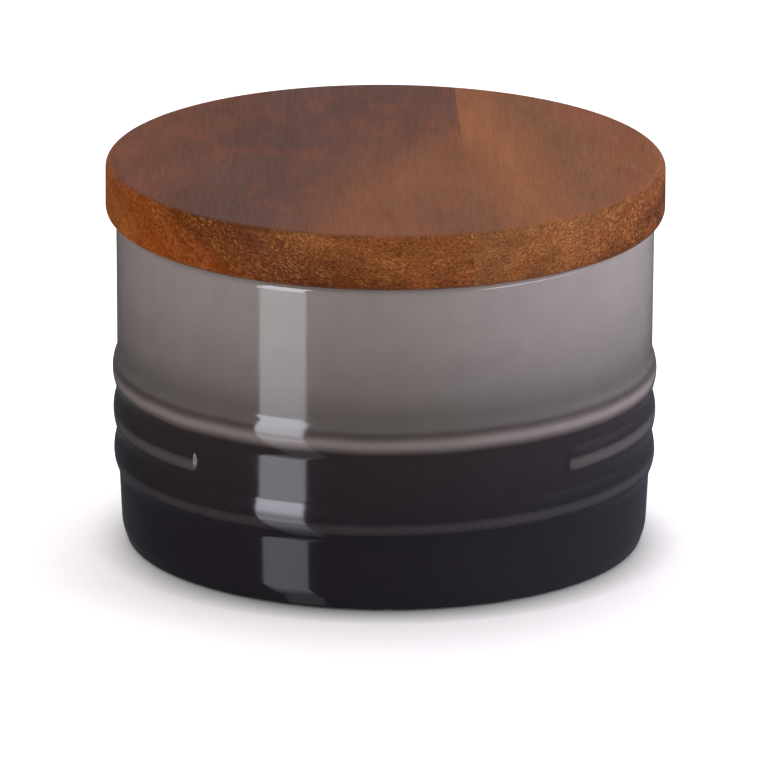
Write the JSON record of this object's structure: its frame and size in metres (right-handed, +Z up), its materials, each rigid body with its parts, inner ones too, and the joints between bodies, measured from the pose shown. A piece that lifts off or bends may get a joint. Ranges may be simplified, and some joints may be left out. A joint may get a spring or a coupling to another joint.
{
  "type": "storage jar",
  "caption": "Small round stoneware storage jar with ribbed wall and flat wooden lid, sealed in its mouth by a finned silicone ring.",
  "frame": {"origin": "centre of the foot ring, on the surface the jar stands on", "axes": "+Z up along the jar's axis, -Y towards the front, where the middle rib breaks off"},
  "size_m": [0.105, 0.105, 0.0734],
  "materials": {
    "stoneware": "glossy warm grey glaze darkening to near black below the top rib",
    "lid_wood_wide": "oiled, purple brown board",
    "lid_wood_narrow": "oiled, orange brown board",
    "silicone": "soft matt milky silicone"
  },
  "bodies": {
    "jar": {"stoneware_jar": "stoneware"},
    "seal": {"silicone_seal": "silicone"},
    "lid": {"lid_board_wide": "lid_wood_wide", "lid_board_narrow": "lid_wood_narrow"}
  },
  "joints": [
    {"name": "lid_lift", "type": "slide", "parent": "jar", "child": "seal", "axis": [0, 0, 1], "range_m": [0, 0.1]},
    {"name": "lid_turn", "type": "hinge", "parent": "seal", "child": "lid", "pos_m": [0, 0, 0.0627], "axis": [0, 0, 1], "continuous": true}
  ]
}
